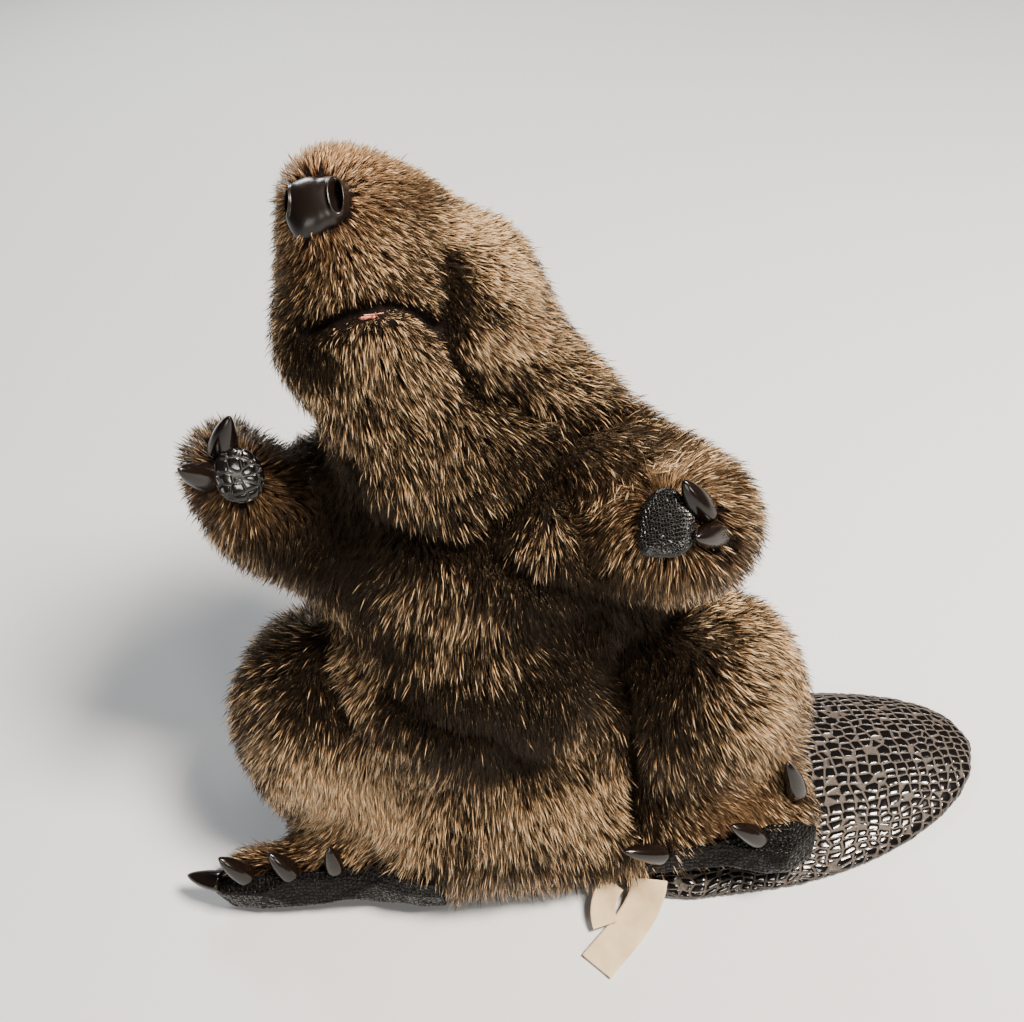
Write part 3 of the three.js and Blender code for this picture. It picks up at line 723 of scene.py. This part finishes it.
# ---- Nose, eyes, ears and claws ----
NOSE_OUTLINE = [(8.2, 1.5), (8.0, -1.5), (7.2, -4), (2.5, -6.8), (-2.5, -9), (-5.5, -9.2), (-7.4, -6.5),
                (-8.3, -2.5), (-8.4, 1.5), (-7.9, 4.3), (-5.5, 5.5), (0, 5.9), (5.5, 5.7), (7.8, 4.3)]
NOSE_FULLER = 1.09  # the outline is taken this many times
NOSE_FRONT, NOSE_BACK = 5.6, 5  # how far it stands out, and how far it goes in
SQUARENESS = 2.8  # of its edges, where 2 is round
NOSTRILS = [(4.9, 1.2), (-9.4, 1.2)]
NOSTRIL_WIDTH, NOSTRIL_HEIGHT, NOSTRIL_DEPTH, NOSTRIL_RIM = 1.25, 3.4, 4.5, 1.1


def reach_of(outline):
    """The distance out to a smoothed outline, as a function of the angle round its middle."""
    outline = np.array(outline)
    turns, reach = np.arctan2(outline[:, 1], outline[:, 0]), np.linalg.norm(outline, axis=1)
    order = np.argsort(turns)
    around = np.linspace(-math.pi, math.pi, 360, endpoint=False)
    rim = np.interp(around, turns[order], reach[order], period=2 * math.pi)
    rim = sum(np.roll(rim, step) for step in range(-7, 8)) / 15
    return lambda angle: np.interp(angle, around, rim, period=2 * math.pi)


def nose(material):
    """The moulded nose: level on top, drawn to a point low on its right, with two tall nostrils."""
    right = unit([0.9925, -0.0862, -0.0862])
    facing = unit([-0.15, -0.72, 0.68])
    facing = unit(facing - right * (facing @ right))
    up = np.cross(facing, right)
    reach = reach_of(np.array(NOSE_OUTLINE) * NOSE_FULLER)

    def shape(u, v):
        angle = (v - 0.5) * 2 * math.pi
        inward, forward = np.sin(math.pi * u), np.cos(math.pi * u)
        out = reach(angle) * inward ** (2 / SQUARENESS)
        x, y = out * np.cos(angle), out * np.sin(angle)
        z = (np.sign(forward) * np.abs(forward) ** (2 / SQUARENESS)
             * np.where(forward > 0, NOSE_FRONT, NOSE_BACK))
        z = z - 0.022 * (x ** 2 + (y + 1) ** 2) * (forward > 0)
        front = np.clip(forward * 3, 0, 1)
        for spot_x, spot_y in NOSTRILS:
            ring = np.hypot((x - spot_x + 0.1 * (y - spot_y)) / NOSTRIL_WIDTH, (y - spot_y) / NOSTRIL_HEIGHT)
            rim = np.exp(-((ring - 1.5) / 0.33) ** 2)
            z = z + front * (-NOSTRIL_DEPTH * np.exp(-ring ** 4) + NOSTRIL_RIM * rim)
        return place(NOSE_MIDDLE + x[:, None] * right + y[:, None] * up + z[:, None] * facing)

    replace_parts(piece("moulded_nose", rolled(shape, 110, 130), material, "gloss"), "nose")


HEAD_MIDDLE = (8, 56, 193)


def eye(node, material, knit):
    """A domed bead in a thin lid of the knit, sunk in the pile."""
    low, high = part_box(node)
    centre, radius = (low + high) / 2, (high - low).length / 2 / math.sqrt(3)
    inward = (Vector(place(HEAD_MIDDLE)) - centre).normalized()
    turn = (-inward).to_track_quat("Z", "Y").to_matrix().to_4x4()
    bm = bmesh.new()
    bmesh.ops.create_uvsphere(bm, u_segments=40, v_segments=24, radius=radius)
    flatter = Matrix.Diagonal((1, 1, 0.8, 1))
    bmesh.ops.transform(bm, verts=bm.verts, matrix=Matrix.Translation(centre) @ turn @ flatter)
    bead = piece(f"bead_{node}", bm, material, "gloss")
    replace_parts(bead, node)
    ring = bmesh.new()
    bmesh.ops.create_circle(ring, segments=40, radius=radius * 1.28)
    profile = bmesh.ops.extrude_edge_only(ring, edges=ring.edges)["geom"]
    inner = [g for g in profile if isinstance(g, bmesh.types.BMVert)]
    bmesh.ops.scale(ring, verts=inner, vec=(0.72, 0.72, 1))
    bmesh.ops.translate(ring, verts=inner, vec=(0, 0, radius * 0.35))
    bmesh.ops.transform(ring, verts=ring.verts, matrix=Matrix.Translation(centre) @ turn)
    bmesh.ops.solidify(ring, geom=ring.faces, thickness=0.6 * MM)
    bmesh.ops.recalc_face_normals(ring, faces=ring.faces)
    piece(f"lid_{node}", ring, knit, "fur")


def ear(node, material, coat_material):
    """A small cupped ear in pile half as long as the body's."""
    flap = cast(f"backing_{node}", [node], 0.7 * MM, 4, material, "fur")
    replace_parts(flap, node)
    unwrap(flap)
    grow(f"underfur_{node}", UNDERFUR, *tuft_roots(flap, 1.0, 61), 62, coat_material, 0.5)


CLAW_RADIUS = {"fore": 4.5, "hind": 3.9}
CLAW_END = 2.5  # how much of each end tells which is the root


def claw(node, material):
    """A moulded claw along its solid one: round at the root, crested, hooked to a blunt point."""
    points = drawn(points_of(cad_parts[node].data))
    middle = points.mean(0)
    axis = np.linalg.svd(points - middle)[2][0]
    along = (points - middle) @ axis
    spread = [np.ptp(points[end] @ np.linalg.svd(points - middle)[2][1])
              for end in (along < along.min() + CLAW_END, along > along.max() - CLAW_END)]
    if spread[0] < spread[1]:
        axis, along = -axis, -along
    t = (along - along.min()) / np.ptp(along)
    curve = [np.polyfit(t, points[:, k], 2) for k in range(3)]

    def at(s):
        return np.stack([np.polyval(c, s) for c in curve], axis=1)

    root, halfway, tip = at(np.array([0, 0.5, 1]))
    bow = unit(halfway - (root + tip) / 2)
    heading = unit(tip - root)
    side = unit(np.cross(heading, bow))
    crest = np.cross(side, heading)
    radius = CLAW_RADIUS["fore" if "fore" in node else "hind"]

    def shape(u, v):
        s = np.clip(u * 1.04 - 0.02, 0, 1)
        width = radius * np.clip(1 - s ** 1.8, 0, 1) ** 0.7 * np.clip(u / 0.04, 0, 1) ** 0.5
        angle = v * 2 * math.pi
        ridge = 1 + 0.16 * np.clip(np.cos(angle), 0, 1) ** 10
        return place(at(s) + width[:, None] * ridge[:, None]
                     * (np.cos(angle)[:, None] * crest + np.sin(angle)[:, None] * side * 1.05))

    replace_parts(piece(f"moulded_{node}", rolled(shape, 28, 28), material, "gloss"), node)


# ---- Vinyl tail, soles and pads ----
def emboss(obj, grain, depth):
    """Raises the hide's scales along the normals, by the pattern that its material reads."""
    obj.data.attributes.new("grain", "FLOAT_VECTOR", "POINT").data.foreach_set(
        "vector", np.asarray(grain, np.float32).ravel())
    tree = bpy.data.node_groups.new("emboss", "GeometryNodeTree")
    for way in ("INPUT", "OUTPUT"):
        tree.interface.new_socket("Geometry", in_out=way, socket_type="NodeSocketGeometry")
    start, end = add(tree, "NodeGroupInput"), add(tree, "NodeGroupOutput")
    read = add(tree, "GeometryNodeInputNamedAttribute", {"Name": "grain"}, data_type="FLOAT_VECTOR")
    edge = voronoi_edges(tree, read.outputs["Attribute"])
    wall = add(tree, "ShaderNodeMapRange", {"Value": edge, "From Min": 0.04, "From Max": 0.13, "To Max": 0.7},
               interpolation_type="SMOOTHSTEP").outputs["Result"]
    dome = add(tree, "ShaderNodeMapRange", {"Value": edge, "From Max": 0.5, "To Max": 0.3}).outputs["Result"]
    height = add(tree, "ShaderNodeMath", {0: wall, 1: dome}, operation="ADD").outputs["Value"]
    normal = add(tree, "GeometryNodeInputNormal").outputs["Normal"]
    raised = add(tree, "ShaderNodeVectorMath", {0: normal}, operation="SCALE")
    deep = add(tree, "ShaderNodeMath", {0: height, 1: depth}, operation="MULTIPLY").outputs["Value"]
    tree.links.new(deep, raised.inputs["Scale"])
    moved = add(tree, "GeometryNodeSetPosition", {"Geometry": start.outputs[0],
                                                  "Offset": raised.outputs["Vector"]})
    tree.links.new(moved.outputs["Geometry"], end.inputs[0])
    apply(obj, "NODES", node_group=tree)
    points = points_of(obj.data)
    points[:, 2] = np.maximum(points[:, 2], 0)
    set_points(obj.data, points)


SCALE_LENGTH, SCALE_WIDTH = 5.0, 3.9  # along the tail's middle
TAIL_MIDDLE, TAIL_HALF_WIDTH, TAIL_ROUNDS_FROM = -13, 42, 115
HIDE_RELIEF = 0.4  # how far a scale stands up


def tail(material):
    """The paddle: block-like scales along its middle, dwindling to pebbles at the seam."""
    new = cast("embossed_tail", ["tail"], 0.62 * MM, 24, material, "scaled_vinyl")
    spots = drawn(points_of(new.data))
    across = (spots[:, 1] - TAIL_MIDDLE) / TAIL_HALF_WIDTH
    edge = np.clip((spots[:, 0] - TAIL_ROUNDS_FROM) / 75, 0, 1)
    x = spots[:, 0] / SCALE_LENGTH * (1 + 0.1 * across ** 2) + 3 * edge ** 3
    y = across * TAIL_HALF_WIDTH / SCALE_WIDTH * (1 + 0.35 * across ** 2 + 0.3 * edge ** 2)
    jitter = 0.35 * np.stack([waves(spots, 14, 2), waves(spots, 12, 3)], axis=1)
    jitter *= (0.3 + across ** 2)[:, None]
    grain = np.stack([x + jitter[:, 0], y + jitter[:, 1], np.full(len(spots), 0.5)], axis=1)
    emboss(new, grain, HIDE_RELIEF * MM)
    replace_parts(new, "tail")


# Each palm pad: middle, the ways that it faces and that its right side lies, outline, rise,
# scale size, relief
PALMS = {
    "pad_left": ((65.5, -10.5, 155.5), (-0.2, -0.66, 0.72), (0.97, -0.24, 0.05),
                 [(7.5, -1), (7, -6), (4, -9.3), (-2, -10), (-7.5, -9.8), (-8.8, -7), (-8.6, 0), (-7, 6),
                  (-3, 10), (1, 10.4), (4.5, 6.5)], 2.4, 0.9, 0.14),
    "pad_right": (PAD_RIGHT, (0.3, -0.8, 0.5), (0.95, 0.3, 0.05),
                  [(7, 0), (6, 4.5), (2.5, 8), (-2, 8.2), (-5.8, 5), (-7, 0), (-6, -5), (-2, -8), (3, -8),
                   (6, -4.5)], 1.7, 3.4, 0.3),
}


def palm(node, material):
    """A palm pad of embossed vinyl, domed a little, in its own outline."""
    middle, facing, right, outline, rise, size, depth = PALMS[node]
    facing = unit(facing)
    right = unit(right - facing * (facing @ right))
    up, reach = np.cross(facing, right), reach_of(outline)

    def shape(u, v):
        angle = (v - 0.5) * 2 * math.pi
        out = reach(angle) * np.sin(math.pi * u) ** 0.7
        lift = np.sign(0.5 - u) * np.abs(np.cos(math.pi * u)) ** 0.8 * rise
        return place(np.array(middle) + (out * np.cos(angle))[:, None] * right
                     + (out * np.sin(angle))[:, None] * up + lift[:, None] * facing)

    new = piece(f"embossed_{node}", rolled(shape, 80, 150), material, "scaled_vinyl")
    emboss(new, drawn(points_of(new.data)) / size, depth * MM)
    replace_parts(new, node)


PEBBLE = 1.7


def sole(node, material):
    """A vinyl sole with fine pebbles."""
    new = cast(f"embossed_{node}", [node], 0.5 * MM, 6, material, "scaled_vinyl")
    emboss(new, drawn(points_of(new.data)) / PEBBLE, HIDE_RELIEF * MM)
    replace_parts(new, node)


# ---- Mouth and label ----
# Where the felt shows between the lips, half the sliver's length, and how deep it lies there and beside it
SLIVER, SLIVER_REACH, SLIVER_DEPTH, DEEPER_BESIDE = -12, 5, 2, 12


def mouth(material):
    """The felt lining: a thin leaf that shows as a sliver between the lips."""
    new = cast("felt_mouth_lining", ["mouth_lining"], 0.6 * MM, 3, material, "felt")
    spots = drawn(points_of(new.data))
    beside = 1 - np.exp(-((spots[:, 0] - SLIVER) / SLIVER_REACH) ** 4)
    sunk = SLIVER_DEPTH + DEEPER_BESIDE * beside
    spots += (sunk[:, None] * unit([0.1, 0.8, -0.5])
              + normals_of(new.data) * 0.15 * waves(spots, 1.5, 8)[:, None])
    set_points(new.data, place(spots))
    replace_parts(new, "mouth_lining")


LABEL_WIDTH, LOOP_SHARE = 13, 0.7  # the loop's width is this share of the label's
RIBBON_THICKNESS = 0.3
RIBBON_STEPS, RIBBON_STRIPS = 70, 14
RIBS = 2  # to the millimetre
LABEL_PATH = [(53.3, -51, 12), (52.6, -53, 9), (50.8, -55.7, 5.6), (45.8, -61.5, 2.8),
              (38.1, -68.2, 1), (30, -75.5, 1)]
LOOP_PATH = [(40.5, -49.5, 9.8), (38.5, -51.5, 9.2), (36.5, -54, 8), (35.3, -57, 5.9),
             (35, -60, 4), (35.2, -62, 3)]


def ribbon(name, path, width, material):
    """A strip of ribbon along a path, with a slight curl across, and its length."""
    path = np.array(path, float)
    steps = np.concatenate([[0], np.cumsum(np.linalg.norm(np.diff(path, axis=0), axis=1))])
    length = steps[-1]
    curve = [np.polyfit(steps / length, path[:, k], 3) for k in range(3)]

    def shape(u, v):
        centre = np.stack([np.polyval(c, u) for c in curve], axis=1)
        heading = unit(np.stack([np.polyval(np.polyder(c), u) for c in curve], axis=1))
        across = unit(np.stack([-heading[:, 1], heading[:, 0], np.zeros(len(u))], axis=1))
        up = np.cross(heading, across)
        curl = 0.35 * (2 * v - 1) ** 2 + 0.12 * np.sin(u * 9)
        points = centre + across * ((v - 0.5) * width)[:, None] + up * curl[:, None]
        points[:, 2] = np.maximum(points[:, 2], RIBBON_THICKNESS)
        return place(points)

    bm = rolled(shape, RIBBON_STEPS, RIBBON_STRIPS, closed=False)
    weave = bm.loops.layers.uv.new("weave")
    bm.verts.index_update()
    for face in bm.faces:
        for loop in face.loops:
            row, column = divmod(loop.vert.index, RIBBON_STEPS + 1)
            loop[weave].uv = (column / RIBBON_STEPS * length * RIBS, row / RIBBON_STRIPS * width * RIBS)
    bmesh.ops.solidify(bm, geom=bm.faces, thickness=RIBBON_THICKNESS * MM)
    bmesh.ops.recalc_face_normals(bm, faces=bm.faces)
    return piece(name, bm, material, "label_ribbon"), length


def label():
    material = satin_ribbon()
    main, length = ribbon("satin_label", LABEL_PATH, LABEL_WIDTH, material)
    loop, _ = ribbon("satin_label_loop", LOOP_PATH, LABEL_WIDTH * LOOP_SHARE, material)
    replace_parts(main, "care_label")
    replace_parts(loop, "care_label_loop")


# ---- The toy ----
set_camera()
set_studio()
backing = body_skin()
unwrap(backing)
pile = modacrylic_pile()
body_coat(backing, "underfur", UNDERFUR, 0.8, 1000, pile)
body_coat(backing, "guard_hair", GUARD_HAIR, 0.52, 3000, pile)
backing.data.attributes.remove(backing.data.attributes["tip_level"])
gloss, felt = moulded_gloss("polished_moulded_plastic", 0.17), wool_felt()
nose(moulded_gloss("satin_moulded_plastic", 0.3))
bead, knit = bead_plastic(), backing.data.materials[0]
for side in ("left", "right"):
    eye(f"eye_{side}", bead, knit)
    ear(f"ear_{side}", knit, pile)
for node in sorted(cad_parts):
    if node.startswith("claw"):
        claw(node, gloss)
# the tail's brown grooves are painted light on the groove walls
tail(embossed_vinyl("embossed_pvc_hide", "#1d1814", "#463b32", 0.7, 0.5))
palm_hide = embossed_vinyl("embossed_pvc_hide_black", "#020101", "#050404", 0.35, 0.4)
sole_hide = embossed_vinyl("embossed_pvc_hide_scuffed", "#020101", "#040303", 0.6, 0.1)
for side in ("right", "left"):
    sole(f"sole_{side}", sole_hide)
    palm(f"pad_{side}", palm_hide)
mouth(felt)
label()
